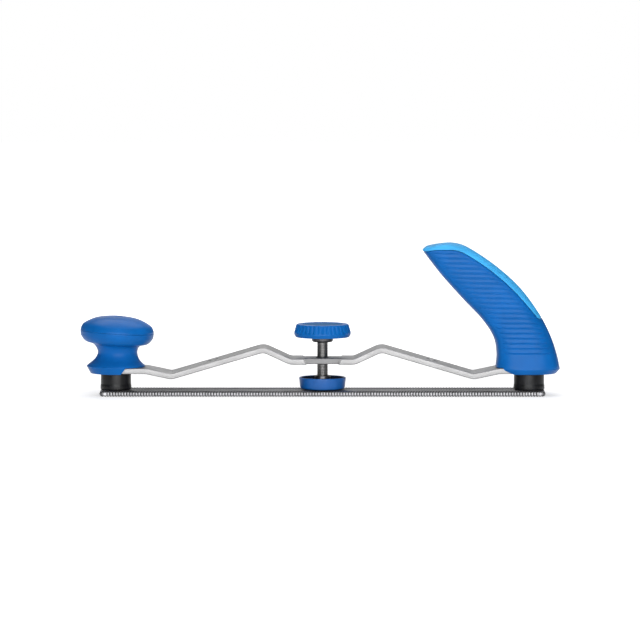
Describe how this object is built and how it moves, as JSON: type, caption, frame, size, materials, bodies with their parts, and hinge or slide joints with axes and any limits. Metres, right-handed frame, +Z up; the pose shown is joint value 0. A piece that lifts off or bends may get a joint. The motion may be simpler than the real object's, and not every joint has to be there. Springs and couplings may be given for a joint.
{
  "type": "body file holder",
  "caption": "Body file holder: a flexible file blade under a bent bar on rubber buffers, with a front knob, a rear handle and a central screw that bows the blade.",
  "frame": {"origin": "on the sole of the blade, under the middle of the whole tool's box; the screw's axis lies 1.8 mm from it towards +X", "axes": "+X along the blade towards the rear handle, +Y across the blade, +Z up from the sole"},
  "size_m": [0.377, 0.0574, 0.12],
  "materials": {
    "blue_plastic": "satin, moulded",
    "pale_blue_plastic": "soft satin, moulded",
    "blue_paint": "satin paint",
    "satin_aluminium": "satin",
    "bright_steel": "turned, bright",
    "file_steel": "hardened and ground, milled teeth",
    "spring_steel": "dark spring steel",
    "brass": "turned",
    "black_rubber": "matt, moulded",
    "grey_cover": "satin"
  },
  "bodies": {
    "frame": {"file_blade": "file_steel", "frame_bar": "satin_aluminium", "spindle_bush": "bright_steel", "front_knob": "blue_plastic", "front_knob_cap": "blue_plastic", "front_knob_insert": "brass", "front_buffer": "black_rubber", "front_buffer_stud": "bright_steel", "front_buffer_socket": "bright_steel", "front_file_screw": "bright_steel", "rear_handle": "blue_plastic", "rear_grip_pad": "pale_blue_plastic", "rear_handle_insert": "brass", "rear_buffer": "black_rubber", "rear_buffer_stud": "bright_steel", "rear_buffer_socket": "bright_steel", "rear_file_screw": "bright_steel"},
    "thrust_cup": {"thrust_cup": "blue_paint", "cup_hub": "bright_steel", "thrust_washer": "brass", "spindle_clip": "spring_steel", "centre_file_screw": "bright_steel"},
    "adjuster": {"adjusting_knob": "blue_plastic", "knob_hub": "bright_steel", "spindle": "bright_steel", "knob_cover": "grey_cover"}
  },
  "joints": [
    {"name": "adjust_travel", "type": "slide", "parent": "frame", "child": "thrust_cup", "axis": [0, 0, -1], "range_m": [-0.009, 0.0115], "deforming": ["file_blade"]},
    {"name": "adjust_turn", "type": "hinge", "parent": "thrust_cup", "child": "adjuster", "pos_m": [0.0018, 0, 0.05], "axis": [0, 0, -1], "range_deg": [-2600, 3320]}
  ],
  "couplings": [
    {"joint": "adjust_turn", "follows": "adjust_travel", "rad_per_m": 5026.5}
  ]
}
